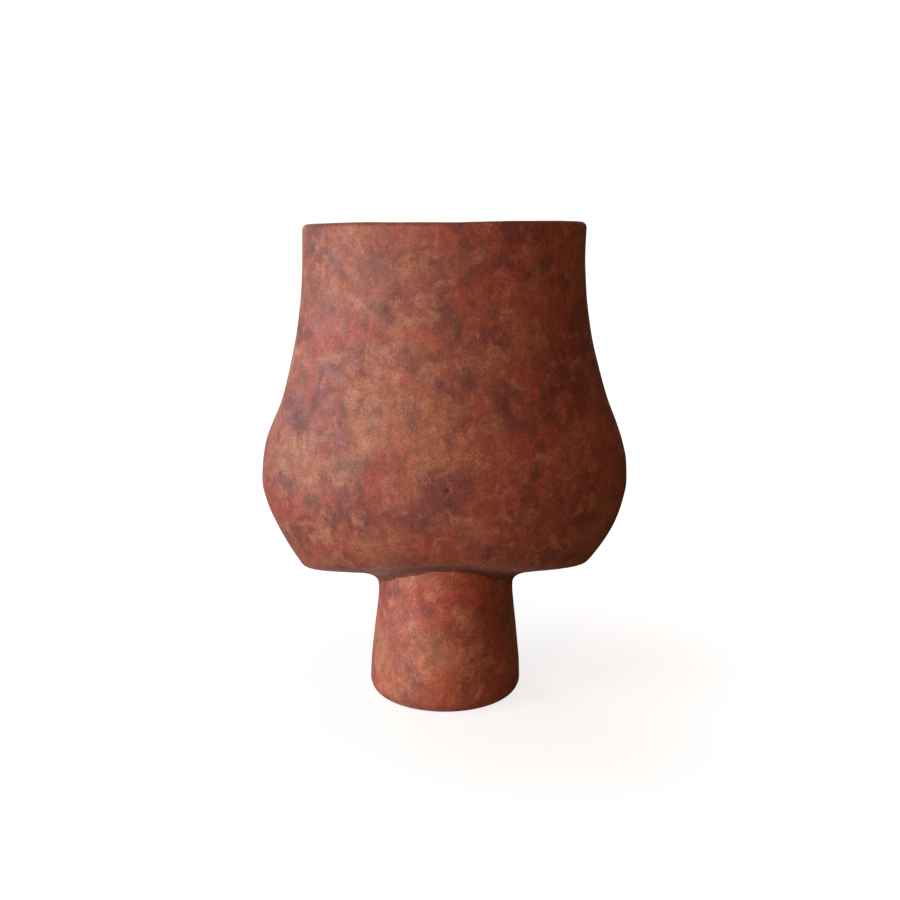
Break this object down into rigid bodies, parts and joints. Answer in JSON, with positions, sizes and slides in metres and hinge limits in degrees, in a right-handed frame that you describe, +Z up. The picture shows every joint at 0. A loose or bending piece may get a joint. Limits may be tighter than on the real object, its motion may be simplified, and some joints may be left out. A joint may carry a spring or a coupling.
{
  "type": "footed oval vase",
  "caption": "Wide flattened oval vase with a low belly and open mouth on a short round hollow foot, in matte patinated terracotta.",
  "frame": {"origin": "on the table under the centre of the foot", "axes": "+Z up, X along the long side of the oval, -Y towards the front"},
  "size_m": [0.2083, 0.103, 0.27],
  "materials": {
    "vessel_clay": "matte, mottled red-brown patina over terracotta",
    "foot_clay": "matte, mottled red-brown patina over terracotta",
    "slip_clay": "matte, smoothed slip with darker patina in the crease"
  },
  "bodies": {
    "root": {"vessel_body": "vessel_clay", "foot_stem": "foot_clay", "luting_slip_ring": "slip_clay"}
  },
  "joints": []
}
